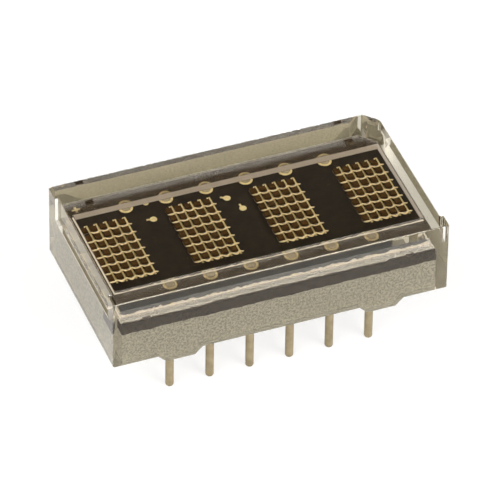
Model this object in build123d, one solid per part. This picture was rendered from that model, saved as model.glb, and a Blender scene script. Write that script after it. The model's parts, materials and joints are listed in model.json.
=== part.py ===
from build123d import *
import math
import os

# A four-character dot matrix display for through-hole mounting. The frame's origin is the
# centre of the seating plane, which is where the four feet touch a circuit board. +X runs
# along the characters, +Y towards their tops, and +Z out of the viewing face. Millimetres.

# Pins
pin_count = 6             # in each of the two rows
pin_pitch = 2.54
row_spacing = 7.62        # from the front row to the back row
pin_diameter = 0.51
pin_reach = 3.73          # below the seating plane
pin_tip_round = 0.18
collar_width = 0.175      # of the collar that holds each pin in the potting, past its surface
collar_height = 0.60
collar_inset = 0.10       # from the potting's lower face
solder_gap = 0.045        # round each pin, through the board
solder_fillet = 0.16      # the fillet's width at the board's underside
solder_height = 0.25
pad_width = 0.135         # of the gold ring round each pin
pad_thickness = 0.035

# Characters and their dice
characters = 4
character_pitch = 5.36
characters_right = 0.13   # of the row of characters, from the pins' middle
characters_back = 0.32
dot_columns = 5
dot_rows = 7
column_pitch = 0.60
row_pitch = 0.762
die_width = 0.38
die_length = 0.42
die_height = 0.16
die_attach = 0.02
column_line_width = 0.11
line_thickness = 0.02
line_overrun = 0.07       # of a column line, past the outer rows
row_link_width = 0.08
row_link_thickness = 0.04
row_link_swing = 0.06     # of the row link, either side of its middle
link_peak = 0.24          # from a row link's peak to the column line on its right
link_valley = 0.12        # from a column line to the row link's valley on its right
wire_width = 0.045
wire_rise = 0.07
ball_radius = 0.055
ball_height = 0.03

# The board that carries them
board_thickness = 0.60
board_level = 2.64        # from the cap's bottom rim up to the board's top
board_clearance = 0.03    # between the board's edge and the cap
end_margin = 1.68         # from the last character's middle to the window's end
edge_margin = 1.24        # from a pin's axis to the cap's inner side wall
via_radius = 0.22
via_tail_width = 0.12
via_tail_length = 0.42
test_pad_radius = 0.17
mark_size = 0.50          # of the alignment cross
mark_arm = 0.13
mark_inset = 0.60         # from the board's edges to the cross's middle

# The clear cap
wall = 0.65
window_width = 7.32       # of the air space over the dice, along Y
window_depth = 0.44
ledge_end = 0.18          # the ledge that holds the board down, at each end
ledge_gap = 0.12          # between that ledge and the board
face_thickness = 1.60     # of the cap over the air space
foot_height = 0.50
foot_flat = 1.80
foot_slope = 0.50
corner_cut = 1.05         # the outside of the corner that marks the direction
pocket_cut = 0.95         # the inside of the same corner
corner_cut_round = 0.60
side_round = 0.12
step_round = 0.08         # where the step meets a pillar
top_round = 0.07
relief_depth = 0.22       # of the step in each end face
relief_level = 3.10       # from the bottom rim up to that step
front_pillar = 1.00       # what the step leaves at the front corners
back_pillar = 1.15        # what it leaves at the back corner of the square end
ledge_pip = 0.50          # the pads that space the ledge from the board
ledge_pip_inset = 1.60    # from the pocket's end to a pad's middle
ledge_pip_margin = 0.32   # from the pocket's side to a pad's middle

# Potting compound and the driver chip in it
potting_recess = 0.25     # from the cap's bottom rim
chip_length = 6.60
chip_width = 2.60
chip_height = 0.40
chip_attach = 0.03
chip_wires = 14           # along each long side
chip_wire_pitch = 0.42
chip_wire_inset = 0.15    # from the chip's edge to a bond
chip_wire_drop = 0.16     # of the loop below the chip
chip_wire_reach = 0.55    # from the chip's edge to the middle of a bond finger
finger_length = 0.50
finger_width = 0.20

# Levels above the seating plane, and sizes that follow from the ones above
board_top = foot_height + board_level
board_bottom = board_top - board_thickness
potting_bottom = foot_height + potting_recess
ledge_level = board_top + ledge_gap
window_top = ledge_level + window_depth
body_top = window_top + face_thickness
window_length = (characters - 1) * character_pitch + 2 * end_margin
pocket_length = window_length + 2 * ledge_end
pocket_width = row_spacing + 2 * edge_margin
body_length = pocket_length + 2 * wall
body_width = pocket_width + 2 * wall
board_length = pocket_length - 2 * board_clearance
board_width = pocket_width - 2 * board_clearance
pin_radius = pin_diameter / 2
hole_radius = pin_radius + solder_gap
die_top = board_top + die_attach + die_height

nodes = {}


def block(length, width, height, bottom):
    """A box standing on the level given, centred on the Z axis."""
    return Pos(0, 0, bottom + height / 2) * Box(length, width, height)


def centred(count, pitch):
    """Evenly spaced places whose middle is zero."""
    return [(i - (count - 1) / 2) * pitch for i in range(count)]


def plate(points, thickness, bottom):
    """A flat plate of the outline given, standing on a level."""
    face = make_face(Polyline(*points, close=True))
    return Pos(0, 0, bottom) * extrude(face, amount=thickness, dir=(0, 0, 1))


def cut_corner_outline(length, width, cut):
    """A rectangle whose +X +Y corner is cut off."""
    x, y = length / 2, width / 2
    return [(-x, -y), (x, -y), (x, y - cut), (x - cut, y), (-x, y)]


def strip_outline(points, width):
    """The outline of a strip of one width that follows a run of points."""
    left, right = [], []
    for i, here in enumerate(points):
        first = points[i - 1] if i > 0 else here
        last = points[i + 1] if i < len(points) - 1 else here
        normals = []
        for a, b in ((first, here), (here, last)):
            length = math.dist(a, b)
            if length > 0:
                normals.append((-(b[1] - a[1]) / length, (b[0] - a[0]) / length))
        nx = sum(n[0] for n in normals)
        ny = sum(n[1] for n in normals)
        scale = width / (nx * nx + ny * ny) * (len(normals) / 2)
        left.append((here[0] + nx * scale, here[1] + ny * scale))
        right.append((here[0] - nx * scale, here[1] - ny * scale))
    return left + right[::-1]


def bent_strip(points, width):
    """A square strip bent along points in the XZ plane, centred on Y = 0."""
    outline = [(x, 0, z) for x, z in strip_outline(points, width)]
    face = make_face(Polyline(*outline, close=True))
    return extrude(face, amount=width / 2, dir=(0, 1, 0), both=True)


def pin_places():
    """X and Y of every pin: the front row from left to right, then the back row."""
    return [(x, y) for y in centred(2, row_spacing) for x in centred(pin_count, pin_pitch)]


def at_pins(solid):
    """A copy of one solid at every pin."""
    return [Pos(x, y, 0) * solid for x, y in pin_places()]


def lower_corners():
    """X, Y and radius of the cap's corners below the steps in its ends."""
    x, y = body_length / 2, body_width / 2
    return [
        (-x, -y, side_round), (x, -y, side_round), (x, y - corner_cut, corner_cut_round),
        (x - corner_cut, y, side_round), (-x, y, side_round),
    ]


def upper_corners():
    """The same above those steps, which leave a pillar at each square corner."""
    x, y, inner = body_length / 2, body_width / 2, body_length / 2 - relief_depth
    front, back = -y + front_pillar, y - back_pillar
    return [
        (-x, -y, side_round), (x, -y, side_round), (x, front, step_round),
        (inner, front, step_round), (inner, y - corner_cut + relief_depth, corner_cut_round),
        (x - corner_cut, y, side_round), (-x, y, side_round), (-x, back, step_round),
        (-inner, back, step_round), (-inner, front, step_round), (-x, front, step_round),
    ]


def rounded_plate(corners, thickness, bottom):
    """A flat plate whose corners are given as X, Y and radius."""
    outline = FilletPolyline(*[(x, y) for x, y, _ in corners],
                             radius=[radius for _, _, radius in corners], close=True)
    return Pos(0, 0, bottom) * extrude(make_face(outline), amount=thickness, dir=(0, 0, 1))


def foot():
    """One foot: a tab as thick as the wall, with sloping ends."""
    half = foot_flat / 2
    outline = [
        (-half, 0, 0), (half, 0, 0), (half + foot_slope, 0, foot_height),
        (-half - foot_slope, 0, foot_height),
    ]
    return extrude(make_face(Polyline(*outline, close=True)), amount=wall, dir=(0, 1, 0))


def lens_cap():
    """The moulded cap: viewing face, walls, ledge, stepped ends and four feet."""
    step = foot_height + relief_level
    upper = rounded_plate(upper_corners(), body_top - step, step)
    upper = fillet(upper.edges().group_by(Axis.Z)[-1], top_round)
    cap = rounded_plate(lower_corners(), relief_level, foot_height) + upper
    pocket = cut_corner_outline(pocket_length, pocket_width, pocket_cut)
    cap -= plate(pocket, ledge_level - foot_height, foot_height)
    cap -= block(window_length, window_width, window_depth, ledge_level)
    outer_pin = (pin_count - 1) / 2 * pin_pitch
    pip_x = pocket_length / 2 - ledge_pip_inset
    pip_y = pocket_width / 2 - ledge_pip_margin
    pip = block(ledge_pip, ledge_pip, ledge_gap, board_top)
    for side in (-1, 1):
        cap += Pos(side * outer_pin, -body_width / 2, 0) * foot()
        cap += Pos(side * outer_pin, body_width / 2 - wall, 0) * foot()
        cap += Pos(side * pip_x, -pip_y, 0) * pip
        cap += Pos(side * pip_x, pip_y, 0) * pip
    return cap


def board():
    """The dark board, with a plated hole for every pin."""
    cut = pocket_cut - board_clearance * (2 - math.sqrt(2))
    solid = plate(cut_corner_outline(board_length, board_width, cut),
                  board_thickness, board_bottom)
    hole = Pos(0, 0, board_bottom + board_thickness / 2) * Cylinder(hole_radius, board_thickness)
    for place in at_pins(hole):
        solid -= place
    return solid


def pin():
    """One round pin, with its tip rounded off to a small flat, and its collar."""
    height = pin_reach + board_top + pad_thickness
    rod = Pos(0, 0, height / 2 - pin_reach) * Cylinder(pin_radius, height)
    rod = fillet(rod.edges().sort_by(Axis.Z)[0], pin_tip_round)
    middle = potting_bottom + collar_inset + collar_height / 2
    return rod + Pos(0, 0, middle) * Cylinder(pin_radius + collar_width, collar_height)


def pin_pad():
    """The gold ring round a pin on the board's top."""
    height = pad_thickness
    ring = Cylinder(hole_radius + pad_width, height) - Cylinder(hole_radius, height)
    return Pos(0, 0, board_top + height / 2) * ring


def solder_joint():
    """Solder that fills the hole round a pin, with a fillet under the board."""
    outline = [
        (pin_radius, 0, board_bottom - solder_height),
        (hole_radius + solder_fillet, 0, board_bottom),
        (hole_radius, 0, board_bottom),
        (hole_radius, 0, board_top + pad_thickness),
        (pin_radius, 0, board_top + pad_thickness),
    ]
    return revolve(make_face(Polyline(*outline, close=True)), Axis.Z, 360)


def dot_places():
    """X and Y of a character's dice from its middle. Each is left of its column line."""
    return [(x - column_pitch / 2, y)
            for y in centred(dot_rows, row_pitch) for x in centred(dot_columns, column_pitch)]


def dies():
    """One character's light-emitting dice."""
    die = block(die_width, die_length, die_height, board_top + die_attach)
    return [Pos(x, y, 0) * die for x, y in dot_places()]


def die_attaches():
    """The adhesive under those dice."""
    spot = block(die_width, die_length, die_attach, board_top)
    return [Pos(x, y, 0) * spot for x, y in dot_places()]


def column_lines():
    """One character's gold column lines, on the board."""
    length = dot_rows * row_pitch + 2 * line_overrun
    line = block(column_line_width, length, line_thickness, board_top)
    return [Pos(x, 0, 0) * line for x in centred(dot_columns, column_pitch)]


def row_links():
    """One character's gold row links, which pass over the column lines."""
    points = []
    for x in centred(dot_columns, column_pitch):
        points.append((x - link_peak, row_link_swing))
        points.append((x + link_valley, -row_link_swing))
    link = plate(strip_outline(points, row_link_width),
                 row_link_thickness, board_top + line_thickness)
    return [Pos(0, y - row_pitch / 2, 0) * link for y in centred(dot_rows, row_pitch)]


def bond_wires():
    """One character's bond wires, each from a die's top down to its column line."""
    run = column_pitch / 2
    line_level = board_top + line_thickness - die_top
    half = wire_width / 2
    bend = die_width / 2
    points = [
        (0, ball_height / 2), (half, wire_rise), (bend, wire_rise),
        (run - half, line_level + half), (run + half, line_level + half),
    ]
    ball = block(2 * ball_radius, 2 * ball_radius, ball_height, 0)
    wire = Pos(0, 0, die_top) * (ball + bent_strip(points, wire_width))
    return [Pos(x, y, 0) * wire for x, y in dot_places()]


def via(tail_turn):
    """A gold via pad with a short trace that leaves it at the angle given."""
    disc = Pos(0, 0, line_thickness / 2) * Cylinder(via_radius, line_thickness)
    tail = Pos(via_tail_length / 2, 0, 0) * block(via_tail_length, via_tail_width, line_thickness, 0)
    return Rot(0, 0, tail_turn) * (disc + tail)


def vias():
    """The three vias between the characters."""
    pitch = character_pitch
    return [
        Pos(-pitch + 0.22, 2.29, board_top) * via(170),
        Pos(-0.36, 2.61, board_top) * via(150),
        Pos(0.21, 1.42, board_top) * via(100),
    ]


def alignment_cross():
    """The gold cross in the board's back left corner."""
    arm = block(mark_size, mark_arm, line_thickness, board_top)
    cross = arm + Rot(0, 0, 90) * arm
    return Pos(-board_length / 2 + mark_inset, board_width / 2 - mark_inset, 0) * cross


def test_pad():
    """A small round pad beside the first back pin's pad."""
    disc = Cylinder(test_pad_radius, line_thickness)
    x = -(pin_count / 2 - 1) * pin_pitch
    return Pos(x, row_spacing / 2, board_top + line_thickness / 2) * disc


def chip():
    """The driver chip, on the board's underside."""
    return block(chip_length, chip_width, chip_height, board_bottom - chip_attach - chip_height)


def chip_adhesive():
    """The adhesive between the driver chip and the board."""
    return block(chip_length, chip_width, chip_attach, board_bottom - chip_attach)


def bond_fingers():
    """The gold fingers round the driver chip, on the board's underside."""
    finger = block(finger_width, finger_length, line_thickness, board_bottom - line_thickness)
    side = chip_width / 2 + chip_wire_reach
    return [Pos(x, y, 0) * finger
            for y in (-side, side) for x in centred(chip_wires, chip_wire_pitch)]


def chip_bonds():
    """The driver chip's bond wires, each looping down and out to its finger."""
    chip_face = board_bottom - chip_attach - chip_height
    finger_face = board_bottom - line_thickness
    half = wire_width / 2
    start = chip_width / 2 - chip_wire_inset
    end = chip_width / 2 + chip_wire_reach
    low = chip_face - chip_wire_drop
    points = [
        (start - half, chip_face - half), (start + half, chip_face - half),
        (start + chip_wire_inset, low), (end - chip_wire_inset, low),
        (end - half, finger_face - half), (end + half, finger_face - half),
    ]
    wire = bent_strip(points, wire_width)
    return [Pos(x, 0, 0) * Rot(0, 0, turn) * wire
            for turn in (90, -90) for x in centred(chip_wires, chip_wire_pitch)]


def potting():
    """The compound that fills the cap under the board, round all that stands in it."""
    outline = cut_corner_outline(pocket_length, pocket_width, pocket_cut)
    solid = plate(outline, board_bottom - potting_bottom, potting_bottom)
    solid -= at_pins(pin())
    solid -= at_pins(solder_joint())
    solid -= [chip(), chip_adhesive()]
    solid -= bond_fingers()
    solid -= chip_bonds()
    return solid


nodes["lens_cap"] = [lens_cap()]
nodes["board"] = [board()]
nodes["potting"] = [potting()]
for number, solid in enumerate(at_pins(pin()), start=1):
    nodes[f"pin_{number:02d}"] = [solid]
nodes["pin_pads"] = at_pins(pin_pad())
nodes["solder_joints"] = at_pins(solder_joint())
for number, x in enumerate(centred(characters, character_pitch), start=1):
    place = Pos(x + characters_right, characters_back, 0)
    nodes[f"led_dice_{number}"] = [place * s for s in dies()]
    nodes[f"die_attach_{number}"] = [place * s for s in die_attaches()]
    nodes[f"column_lines_{number}"] = [place * s for s in column_lines()]
    nodes[f"row_links_{number}"] = [place * s for s in row_links()]
    nodes[f"bond_wires_{number}"] = [place * s for s in bond_wires()]
nodes["vias"] = vias()
nodes["alignment_cross"] = [alignment_cross()]
nodes["test_pad"] = [test_pad()]
nodes["driver_chip"] = [chip()]
nodes["driver_adhesive"] = [chip_adhesive()]
nodes["driver_bond_fingers"] = bond_fingers()
nodes["driver_bond_wires"] = chip_bonds()

os.makedirs("parts", exist_ok=True)
for name, pieces in nodes.items():
    solids = [solid for piece in pieces for solid in piece.solids()]
    shape = solids[0] if len(solids) == 1 else Compound(children=solids)
    export_step(shape, f"parts/{name}.step")
    print(name, len(solids))
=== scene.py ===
import json
import math
import random

import bmesh
import bpy
from mathutils import Matrix, Vector

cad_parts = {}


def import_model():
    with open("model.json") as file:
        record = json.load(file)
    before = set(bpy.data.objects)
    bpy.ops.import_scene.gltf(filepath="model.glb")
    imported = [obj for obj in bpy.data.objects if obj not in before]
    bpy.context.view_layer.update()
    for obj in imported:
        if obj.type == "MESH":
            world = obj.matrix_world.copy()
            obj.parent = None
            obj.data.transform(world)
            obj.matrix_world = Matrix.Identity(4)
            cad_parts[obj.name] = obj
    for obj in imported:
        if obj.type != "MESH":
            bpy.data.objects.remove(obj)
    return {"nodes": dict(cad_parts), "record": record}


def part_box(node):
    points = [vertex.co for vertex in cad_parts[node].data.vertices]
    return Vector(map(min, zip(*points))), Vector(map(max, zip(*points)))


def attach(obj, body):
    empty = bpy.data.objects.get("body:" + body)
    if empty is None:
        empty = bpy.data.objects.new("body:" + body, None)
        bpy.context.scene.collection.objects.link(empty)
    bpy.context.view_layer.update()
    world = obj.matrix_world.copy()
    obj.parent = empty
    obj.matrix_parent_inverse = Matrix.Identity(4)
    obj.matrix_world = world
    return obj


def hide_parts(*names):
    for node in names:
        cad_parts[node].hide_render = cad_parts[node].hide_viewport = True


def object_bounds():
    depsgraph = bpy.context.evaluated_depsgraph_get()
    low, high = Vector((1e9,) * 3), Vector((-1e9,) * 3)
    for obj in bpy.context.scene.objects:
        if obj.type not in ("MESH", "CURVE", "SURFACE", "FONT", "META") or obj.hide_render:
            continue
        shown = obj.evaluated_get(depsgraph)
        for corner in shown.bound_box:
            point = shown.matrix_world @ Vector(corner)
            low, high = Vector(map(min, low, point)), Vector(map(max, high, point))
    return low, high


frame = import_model()
cad_low, cad_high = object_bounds()
MM = 0.001

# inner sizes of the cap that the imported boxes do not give
POCKET_CLEARANCE = 0.05 * MM
LEDGE_GAP = 0.12 * MM
AIR_HALF_X, AIR_HALF_Y = 9.72 * MM, 3.66 * MM
AIR_HEIGHT = 0.43 * MM
CORNER_CUT = 0.95 * MM
PIP_IN_X, PIP_IN_Y, PIP_REACH = 1.57 * MM, 0.29 * MM, 0.26 * MM
HAIR = 0.01 * MM


# ---------------------------------------------------------------- node helpers

def new_material(name):
    material = bpy.data.materials.new(name)
    material.use_nodes = True
    tree = material.node_tree
    tree.nodes.clear()
    out = tree.nodes.new("ShaderNodeOutputMaterial")
    return material, tree, out


def feed(tree, socket, value):
    """Link a socket to another, or set its value."""
    if isinstance(value, bpy.types.NodeSocket):
        tree.links.new(value, socket)
    else:
        socket.default_value = value


def math_node(tree, operation, a, b=0.0):
    node = tree.nodes.new("ShaderNodeMath")
    node.operation = operation
    feed(tree, node.inputs[0], a)
    feed(tree, node.inputs[1], b)
    return node.outputs["Value"]


def both(tree, *masks):
    """A mask that is one where every mask given is one."""
    result = masks[0]
    for mask in masks[1:]:
        result = math_node(tree, "MULTIPLY", result, mask)
    return result


def below(tree, value, limit):
    return math_node(tree, "LESS_THAN", value, limit)


def above(tree, value, limit):
    return math_node(tree, "GREATER_THAN", value, limit)


def place_axes(tree):
    """The object's own coordinates, and their three parts, in metres."""
    coords = tree.nodes.new("ShaderNodeTexCoord").outputs["Object"]
    parts = tree.nodes.new("ShaderNodeSeparateXYZ")
    tree.links.new(coords, parts.inputs["Vector"])
    return coords, parts.outputs["X"], parts.outputs["Y"], parts.outputs["Z"]


def noise(tree, size_mm, detail=3.0, rough=0.55, coords=None):
    """Noise whose lumps are about size_mm across, in the object's own coordinates."""
    node = tree.nodes.new("ShaderNodeTexNoise")
    node.inputs["Scale"].default_value = 1.0 / (size_mm * MM)
    node.inputs["Detail"].default_value = detail
    node.inputs["Roughness"].default_value = rough
    if coords is None:
        coords = tree.nodes.new("ShaderNodeTexCoord").outputs["Object"]
    tree.links.new(coords, node.inputs["Vector"])
    return node.outputs["Fac"]


def ramp(tree, value, stops):
    node = tree.nodes.new("ShaderNodeValToRGB")
    elements = node.color_ramp.elements
    while len(elements) < len(stops):
        elements.new(0.5)
    for element, (place, colour) in zip(elements, stops):
        element.position = place
        element.color = (*colour, 1.0)
    tree.links.new(value, node.inputs["Fac"])
    return node.outputs["Color"]


def map_value(tree, value, low, high, start=0.0, end=1.0):
    node = tree.nodes.new("ShaderNodeMapRange")
    node.inputs["From Min"].default_value = start
    node.inputs["From Max"].default_value = end
    node.inputs["To Min"].default_value = low
    node.inputs["To Max"].default_value = high
    tree.links.new(value, node.inputs["Value"])
    return node.outputs["Result"]


def bump(tree, height, depth_mm, strength=1.0):
    node = tree.nodes.new("ShaderNodeBump")
    node.inputs["Strength"].default_value = strength
    node.inputs["Distance"].default_value = depth_mm * MM
    tree.links.new(height, node.inputs["Height"])
    return node.outputs["Normal"]


def blend(tree, mask, first, second):
    """The first shader where the mask is zero, the second where it is one."""
    mix = tree.nodes.new("ShaderNodeMixShader")
    feed(tree, mix.inputs["Fac"], mask)
    tree.links.new(first, mix.inputs[1])
    tree.links.new(second, mix.inputs[2])
    return mix.outputs["Shader"]


def matt(tree, colour, normal=None):
    node = tree.nodes.new("ShaderNodeBsdfDiffuse")
    feed(tree, node.inputs["Color"], colour)
    node.inputs["Roughness"].default_value = 0.4
    if normal is not None:
        tree.links.new(normal, node.inputs["Normal"])
    return node.outputs["BSDF"]


def glassy(tree, rough, normal=None):
    node = tree.nodes.new("ShaderNodeBsdfPrincipled")
    node.inputs["Base Color"].default_value = (1.0, 1.0, 1.0, 1.0)
    node.inputs["Transmission Weight"].default_value = 1.0
    node.inputs["IOR"].default_value = 1.5
    feed(tree, node.inputs["Roughness"], rough)
    if normal is not None:
        tree.links.new(normal, node.inputs["Normal"])
    return node.outputs["BSDF"]


# ---------------------------------------------------------------- materials

POTTING_DARK = (0.158, 0.143, 0.103)
POTTING_LIGHT = (0.297, 0.271, 0.207)
BROWN_DARK = (0.004, 0.002, 0.001)
BROWN_LIGHT = (0.050, 0.036, 0.021)


def speckle(tree, dark, light, coords, size_mm=0.14):
    """A colour that wanders between two tones in fine specks."""
    fine = noise(tree, size_mm, 2.0, 0.7, coords)
    return ramp(tree, fine, ((0.40, dark), (0.60, light)))


def clear_plastic():
    """The clear cap. Its bare faces refract. The compound and the board's edge wet the
    pocket's walls, and the ledge over the board has a fine matt texture."""
    material, tree, out = new_material("clear_plastic")
    coords, x, y, z = place_axes(tree)
    board_low, board_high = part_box("board")
    pocket_x = board_high[0] + POCKET_CLEARANCE
    pocket_y = board_high[1] + POCKET_CLEARANCE
    ledge = board_high[2] + LEDGE_GAP
    inside = both(tree, below(tree, math_node(tree, "ABSOLUTE", x), pocket_x),
                  below(tree, math_node(tree, "ABSOLUTE", y), pocket_y),
                  below(tree, z, ledge + 0.02 * MM))
    over_board = both(tree, above(tree, z, ledge - 0.14 * MM),
                      below(tree, math_node(tree, "ABSOLUTE", x), pocket_x - 0.10 * MM),
                      below(tree, math_node(tree, "ABSOLUTE", y), pocket_y - 0.10 * MM))
    on_ledge = both(tree, inside, math_node(
        tree, "MAXIMUM", over_board, above(tree, z, ledge - 0.02 * MM)))

    wave = noise(tree, 1.2, 2.0, coords=coords)
    bare = glassy(tree, 0.0, bump(tree, wave, 0.003))

    # the wetted walls: pale compound, and along the front the board's dark edge
    ripple = noise(tree, 1.1, 3.0, 0.6, coords)
    edge_top = map_value(tree, ripple, -0.16 * MM, 0.16 * MM, 0.3, 0.7)
    edge_low = map_value(tree, noise(tree, 0.6, 3.0, 0.6, coords), -0.05 * MM, 0.05 * MM,
                         0.3, 0.7)
    front = below(tree, y, -pocket_y + 1.5 * MM)
    band = both(tree, front, above(tree, math_node(tree, "SUBTRACT", z, edge_low),
                                   board_low[2]))
    pale = speckle(tree, POTTING_DARK, POTTING_LIGHT, coords, 0.14)
    brown = speckle(tree, BROWN_DARK, BROWN_LIGHT, coords)
    wetted = blend(tree, band, matt(tree, pale), matt(tree, brown))

    # the ledge: glued to the board along its front, an air gap over the rest
    glued = both(tree, front, below(tree, math_node(tree, "ADD", y, edge_top),
                                    -pocket_y + 0.38 * MM))
    frost = map_value(tree, y, 0.24, 0.03, -4.2 * MM, 3.0 * MM)
    grain = noise(tree, 0.10, 2.0, 0.7, coords)
    rough_gap = glassy(tree, frost, bump(tree, grain, 0.010))
    haze = speckle(tree, (0.008, 0.005, 0.003), (0.125, 0.092, 0.062), coords, 0.13)
    gap = blend(tree, 0.42, rough_gap, matt(tree, haze))
    ledge_face = blend(tree, glued, gap, matt(tree, brown))

    # the upright walls of the air space: a thin film on two of them, and along the others an
    # adhesive bead painted pale as a painted highlight on those edges
    film = both(tree, below(tree, z, ledge + AIR_HEIGHT), above(tree, z, ledge + 0.02 * MM))
    far_wall = both(tree, film, above(tree, y, AIR_HALF_Y - HAIR),
                    below(tree, math_node(tree, "ABSOLUTE", x), AIR_HALF_X + HAIR),
                    below(tree, y, AIR_HALF_Y + HAIR))
    right_wall = both(tree, film, above(tree, x, AIR_HALF_X - HAIR),
                      below(tree, x, AIR_HALF_X + HAIR))
    highlight_bead_top = map_value(tree, noise(tree, 0.35, 2.0, 0.6, coords), 0.05 * MM, 0.24 * MM,
                         0.3, 0.7)
    highlight_bead = both(tree, above(tree, z, ledge - HAIR),
                below(tree, math_node(tree, "SUBTRACT", z, highlight_bead_top), ledge))
    near_wall = both(tree, highlight_bead, below(tree, y, -AIR_HALF_Y + HAIR),
                     above(tree, y, -AIR_HALF_Y - 0.03 * MM),
                     below(tree, math_node(tree, "ABSOLUTE", x), AIR_HALF_X + 0.03 * MM))
    left_wall = both(tree, highlight_bead, below(tree, x, -AIR_HALF_X + HAIR),
                     above(tree, x, -AIR_HALF_X - 0.06 * MM),
                     below(tree, math_node(tree, "ABSOLUTE", y), AIR_HALF_Y + 0.03 * MM))
    lined = math_node(tree, "MAXIMUM", far_wall, right_wall)
    highlight_bead_walls = math_node(tree, "MAXIMUM", near_wall, left_wall)
    film_face = blend(tree, 0.72, bare, matt(tree, (0.40, 0.345, 0.29, 1.0)))
    # the bead's pale colour is partly the adhesive's own and partly a painted highlight along
    # the front and left edges of the air space
    highlight_bead_face = matt(tree, (0.52, 0.47, 0.41, 1.0))

    face = blend(tree, inside, bare, wetted)
    pips = both(tree, on_ledge, below(tree, z, ledge - 0.02 * MM))
    face = blend(tree, on_ledge, face, ledge_face)
    face = blend(tree, pips, face, matt(tree, haze))
    face = blend(tree, lined, face, film_face)
    face = blend(tree, highlight_bead_walls, face, highlight_bead_face)

    # lamps shine straight through the plastic, a little dimmed, so that the inside is lit
    dimmed = tree.nodes.new("ShaderNodeBsdfTransparent")
    dimmed.inputs["Color"].default_value = (0.93, 0.92, 0.90, 1.0)
    shadow = tree.nodes.new("ShaderNodeLightPath").outputs["Is Shadow Ray"]
    tree.links.new(blend(tree, shadow, face, dimmed.outputs["BSDF"]), out.inputs["Surface"])
    absorb = tree.nodes.new("ShaderNodeVolumeAbsorption")
    absorb.inputs["Color"].default_value = (0.62, 0.56, 0.38, 1.0)
    absorb.inputs["Density"].default_value = 130.0
    tree.links.new(absorb.outputs["Volume"], out.inputs["Volume"])
    return material


def plain(name, dark, light, size_mm, rough, metallic=0.0, depth_mm=0.003, **extra):
    """A surface whose colour wanders between two tones, with fine bumps."""
    material, tree, out = new_material(name)
    shader = tree.nodes.new("ShaderNodeBsdfPrincipled")
    lumps = noise(tree, size_mm)
    tree.links.new(ramp(tree, lumps, ((0.35, dark), (0.65, light))), shader.inputs["Base Color"])
    tree.links.new(map_value(tree, lumps, rough[0], rough[1]), shader.inputs["Roughness"])
    tree.links.new(bump(tree, noise(tree, size_mm * 0.4), depth_mm), shader.inputs["Normal"])
    shader.inputs["Metallic"].default_value = metallic
    for key, value in extra.items():
        shader.inputs[key.replace("_", " ")].default_value = value
    tree.links.new(shader.outputs["BSDF"], out.inputs["Surface"])
    return material


def leave_clear(material, mask):
    """Make a finished material clear where the mask is one."""
    tree = material.node_tree
    out = next(n for n in tree.nodes if n.bl_idname == "ShaderNodeOutputMaterial")
    face = out.inputs["Surface"].links[0].from_socket
    clear = tree.nodes.new("ShaderNodeBsdfTransparent")
    tree.links.new(blend(tree, mask, face, clear.outputs["BSDF"]), out.inputs["Surface"])


def board_black():
    """The board's dark solder mask, left clear where the ledge's pips press on it."""
    material = plain("board_black", (0.010, 0.007, 0.004), (0.016, 0.011, 0.006), 0.5,
                     (0.8, 0.95), Specular_IOR_Level=0.06)
    tree = material.node_tree
    x, y, z = place_axes(tree)[1:]
    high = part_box("board")[1]
    across = math_node(tree, "SUBTRACT", math_node(tree, "ABSOLUTE", x), high[0] - PIP_IN_X)
    along = math_node(tree, "SUBTRACT", math_node(tree, "ABSOLUTE", y), high[1] - PIP_IN_Y)
    leave_clear(material, both(tree, above(tree, z, high[2] - HAIR),
                               below(tree, math_node(tree, "ABSOLUTE", across), PIP_REACH),
                               below(tree, math_node(tree, "ABSOLUTE", along), PIP_REACH)))
    return material


def potting_compound():
    """Cured compound. Its sides are left to the cap's wetted walls, which lie on them."""
    material = plain("potting_compound", POTTING_DARK, POTTING_LIGHT, 1.6, (0.35, 0.5))
    tree = material.node_tree
    x, y = place_axes(tree)[1:3]
    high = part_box("potting")[1]
    side_x = above(tree, math_node(tree, "ABSOLUTE", x), high[0] - HAIR)
    side_y = above(tree, math_node(tree, "ABSOLUTE", y), high[1] - HAIR)
    corner = above(tree, math_node(tree, "ADD", x, y), high[0] + high[1] - CORNER_CUT - HAIR)
    leave_clear(material, math_node(tree, "MAXIMUM", math_node(tree, "MAXIMUM", side_x, side_y),
                                    corner))
    return material


MATERIALS = {
    "clear_plastic": clear_plastic(),
    "board_black": board_black(),
    "potting_compound": potting_compound(),
    "pin_metal": plain("pin_metal", (0.25, 0.205, 0.125), (0.33, 0.275, 0.175), 0.5,
                       (0.38, 0.5), metallic=0.6),
    "gold_pad": plain("gold_pad", (0.50, 0.39, 0.17), (0.66, 0.54, 0.26), 0.2,
                      (0.35, 0.5), metallic=0.5),
    "solder": plain("solder", (0.13, 0.10, 0.055), (0.22, 0.175, 0.10), 0.2, (0.4, 0.5),
                    metallic=0.4),
    "led_die": plain("led_die", (0.028, 0.012, 0.001), (0.048, 0.022, 0.002), 0.15, (0.8, 0.9),
                     Specular_IOR_Level=0.05),
    "silver_epoxy": plain("silver_epoxy", (0.3, 0.28, 0.25), (0.4, 0.38, 0.34), 0.1, (0.4, 0.6)),
    "gold_line": plain("gold_line", (0.40, 0.31, 0.12), (0.56, 0.44, 0.19), 0.15,
                       (0.4, 0.55), metallic=0.4),
    "row_link_metal": plain("row_link_metal", (0.55, 0.42, 0.22), (0.70, 0.55, 0.32), 0.15,
                            (0.35, 0.5), metallic=0.4),
    "gold_wire": plain("gold_wire", (0.60, 0.47, 0.22), (0.74, 0.60, 0.32), 0.15,
                       (0.3, 0.4), metallic=0.5),
    "silicon": plain("silicon", (0.10, 0.10, 0.11), (0.14, 0.14, 0.15), 0.8, (0.1, 0.2)),
}
for entry in frame["record"]["subparts"]:
    node = frame["nodes"][entry["node"]]
    node.data.materials.clear()
    node.data.materials.append(MATERIALS[entry["material_slot"]])


# ---------------------------------------------------------------- the characters' wires

COLUMN_PITCH = 0.60 * MM
ROW_PITCH = 0.762 * MM
ROWS, COLUMNS = 7, 5
WIRE_HALF_HEIGHT = 0.03 * MM


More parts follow.
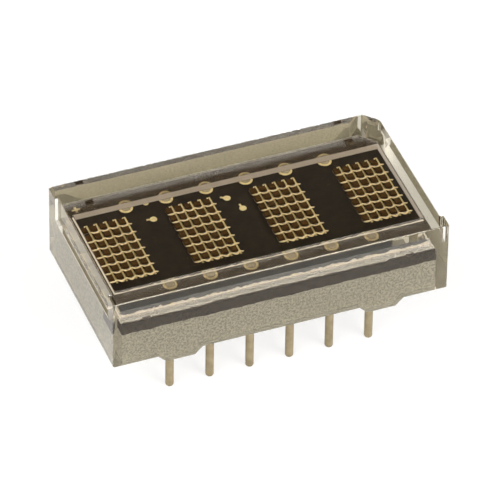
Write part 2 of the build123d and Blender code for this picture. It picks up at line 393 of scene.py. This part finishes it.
def tube(shape, path):
    """A round wire along points that each have a place, a half width and a half height."""
    sides = 8
    rings = []
    for i, (place, wide, tall) in enumerate(path):
        before, after = path[max(i - 1, 0)][0], path[min(i + 1, len(path) - 1)][0]
        run = Vector((after.x - before.x, after.y - before.y, 0)).normalized()
        side, up = Vector((-run.y, run.x, 0)), Vector((0, 0, 1))
        rings.append([
            shape.verts.new(place + side * (wide * math.cos(2 * math.pi * k / sides))
                            + up * (tall * math.sin(2 * math.pi * k / sides)))
            for k in range(sides)])
    for first, second in zip(rings, rings[1:]):
        for k in range(sides):
            face = shape.faces.new((first[k], first[(k + 1) % sides],
                                    second[(k + 1) % sides], second[k]))
            face.smooth = True
    shape.faces.new(rings[0][::-1])
    shape.faces.new(rings[-1])


def finish_piece(name, shape, slot, node):
    bmesh.ops.recalc_face_normals(shape, faces=shape.faces)
    mesh = bpy.data.meshes.new(name)
    shape.to_mesh(mesh)
    shape.free()
    mesh.materials.append(MATERIALS[slot])
    piece = bpy.data.objects.new(name, mesh)
    bpy.context.collection.objects.link(piece)
    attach(piece, "root")
    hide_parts(node)


def garlands(number):
    """The wires along the front of each row of dice, which sag between the column lines."""
    low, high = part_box(f"column_lines_{number}")
    first_line = (low[0] + high[0]) / 2 - 2 * COLUMN_PITCH
    middle = (low[1] + high[1]) / 2
    level = high[2] + 0.10 * MM
    shape = bmesh.new()
    rng = random.Random(number)
    for row in range(ROWS):
        y = middle + (row - ROWS / 2) * ROW_PITCH + 0.02 * MM
        path = []
        starts_at_line = number == 1 and row == ROWS - 1
        if not starts_at_line:
            for reach, sag, wide in ((0.50, 0.00, 0.008), (0.40, 0.02, 0.045),
                                     (0.28, 0.03, 0.085), (0.14, 0.03, 0.05)):
                place = Vector((first_line - reach * MM, y - sag * MM, level))
                path.append((place, wide * MM, WIRE_HALF_HEIGHT))
        for column in range(COLUMNS - 1):
            jitter = rng.uniform(-0.012, 0.012)
            for step in range(8):
                part = step / 8
                swing = math.sin(math.pi * part)
                place = Vector((first_line + (column + part) * COLUMN_PITCH,
                                y + (0.045 - (0.180 + jitter) * swing ** 2) * MM, level))
                path.append((place, (0.046 + 0.050 * swing ** 4) * MM, WIRE_HALF_HEIGHT))
        last = first_line + (COLUMNS - 1) * COLUMN_PITCH
        for reach, rise, wide, tall in ((0.00, 0.03, 0.04, 0.03), (0.13, -0.02, 0.05, 0.03),
                                        (0.19, -0.01, 0.02, 0.02)):
            place = Vector((last + reach * MM, y + rise * MM, level))
            path.append((place, wide * MM, tall * MM))
        tube(shape, path)
    finish_piece(f"garlands_{number}", shape, "row_link_metal", f"row_links_{number}")


def bond_dots(number):
    """The bright wire ends on the dice of the back row."""
    low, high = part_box(f"column_lines_{number}")
    first_line = (low[0] + high[0]) / 2 - 2 * COLUMN_PITCH
    middle = (low[1] + high[1]) / 2
    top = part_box(f"led_dice_{number}")[1][2]
    shape = bmesh.new()
    y = middle + 3 * ROW_PITCH + 0.17 * MM
    for column in range(COLUMNS):
        line = first_line + column * COLUMN_PITCH
        path = []
        for i in range(5):
            swell = math.sin(math.pi * (i + 0.6) / 5.2)
            place = Vector((line - (0.24 - 0.02 * i) * MM, y, top + 0.03 * MM))
            path.append((place, swell * 0.055 * MM, swell * 0.035 * MM))
        tube(shape, path)
    finish_piece(f"bond_dots_{number}", shape, "gold_wire", f"bond_wires_{number}")


for digit in range(1, 5):
    garlands(digit)
    bond_dots(digit)


# ---------------------------------------------------------------- stage, light and camera

def floor(level, radius):
    """A pale floor that keeps the object's shadow and is clear when seen from below."""
    mesh = bpy.data.meshes.new("floor")
    shape = bmesh.new()
    bmesh.ops.create_circle(shape, cap_ends=True, radius=radius, segments=96)
    shape.to_mesh(mesh)
    shape.free()
    piece = bpy.data.objects.new("floor", mesh)
    piece.location.z = level
    bpy.context.collection.objects.link(piece)
    material, tree, out = new_material("floor_white")
    glow = tree.nodes.new("ShaderNodeEmission")
    path = tree.nodes.new("ShaderNodeLightPath")
    seen = math_node(tree, "MULTIPLY", path.outputs["Is Camera Ray"], 0.72)
    face = blend(tree, seen, matt(tree, (0.86, 0.85, 0.83, 1.0)), glow.outputs["Emission"])
    tree.links.new(face, out.inputs["Surface"])
    leave_clear(material, tree.nodes.new("ShaderNodeNewGeometry").outputs["Backfacing"])
    mesh.materials.append(material)


def area_lamp(name, place, size, watts):
    """A soft lamp aimed at the middle of the object's foot."""
    lamp = bpy.data.lights.new(name, "AREA")
    lamp.shape = "RECTANGLE"
    lamp.size, lamp.size_y = size
    lamp.energy = watts
    piece = bpy.data.objects.new(name, lamp)
    piece.location = place
    piece.rotation_mode = "QUATERNION"
    piece.rotation_quaternion = (-Vector(place)).to_track_quat("-Z", "Y")
    bpy.context.collection.objects.link(piece)


def world():
    """Soft light all round, with a dark card high behind the object, so that the black
    board shows through the cap's face without a veil."""
    surround = bpy.data.worlds.new("surround")
    bpy.context.scene.world = surround
    surround.use_nodes = True
    tree = surround.node_tree
    tree.nodes.clear()
    out = tree.nodes.new("ShaderNodeOutputWorld")
    soft = tree.nodes.new("ShaderNodeBackground")
    way = tree.nodes.new("ShaderNodeTexCoord").outputs["Generated"]
    toward = tree.nodes.new("ShaderNodeVectorMath")
    toward.operation = "DOT_PRODUCT"
    tree.links.new(way, toward.inputs[0])
    toward.inputs[1].default_value = Vector((0.277, 0.706, 0.651)).normalized()
    light = map_value(tree, toward.outputs["Value"], 1.0, 0.0, 0.74, 0.86)
    tree.links.new(ramp(tree, light, ((0.0, (0.03, 0.03, 0.03)), (1.0, (1.0, 0.985, 0.955)))),
                   soft.inputs["Color"])
    soft.inputs["Strength"].default_value = 0.85
    white = tree.nodes.new("ShaderNodeBackground")
    path = tree.nodes.new("ShaderNodeLightPath")
    white.inputs["Color"].default_value = (1.0, 1.0, 1.0, 1.0)
    tree.links.new(blend(tree, path.outputs["Is Camera Ray"], soft.outputs["Background"],
                         white.outputs["Background"]), out.inputs["Surface"])


def camera():
    """The photograph's view: from the front left, about forty degrees up, far away."""
    azimuth, elevation, roll = math.radians(-21.42), math.radians(40.65), math.radians(0.93)
    distance = 0.3426
    aim_right, aim_up = 0.137 * MM, 1.045 * MM
    back = Vector((math.sin(azimuth) * math.cos(elevation),
                   -math.cos(azimuth) * math.cos(elevation), math.sin(elevation)))
    right = Vector((math.cos(azimuth), math.sin(azimuth), 0))
    up = back.cross(right)
    eye = bpy.data.cameras.new("camera")
    eye.lens = 413.0
    eye.clip_start, eye.clip_end = 0.01, 10.0
    piece = bpy.data.objects.new("camera", eye)
    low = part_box("lens_cap")[0]
    foot_height = 0.5 * MM
    aim = Vector((0, 0, low[2] + foot_height)) + right * aim_right + up * aim_up
    turned_right = right * math.cos(roll) + up * math.sin(roll)
    turned_up = back.cross(turned_right)
    piece.matrix_world = Matrix((
        (turned_right.x, turned_up.x, back.x, aim.x + back.x * distance),
        (turned_right.y, turned_up.y, back.y, aim.y + back.y * distance),
        (turned_right.z, turned_up.z, back.z, aim.z + back.z * distance),
        (0, 0, 0, 1),
    ))
    bpy.context.collection.objects.link(piece)
    bpy.context.scene.camera = piece


floor(cad_low[2], 1.2)
world()
area_lamp("key", (-0.30, -0.18, 0.34), (0.30, 0.30), 1.4)
area_lamp("fill", (0.20, -0.38, 0.24), (0.30, 0.30), 2.0)
area_lamp("rim", (0.06, 0.44, 0.09), (0.34, 0.10), 2.4)
camera()
BOUNCES = 32  # light crosses many faces inside the cap
scene = bpy.context.scene
scene.view_settings.view_transform = "Standard"
scene.cycles.max_bounces = BOUNCES
scene.cycles.glossy_bounces = BOUNCES
scene.cycles.transmission_bounces = BOUNCES
scene.cycles.transparent_max_bounces = BOUNCES
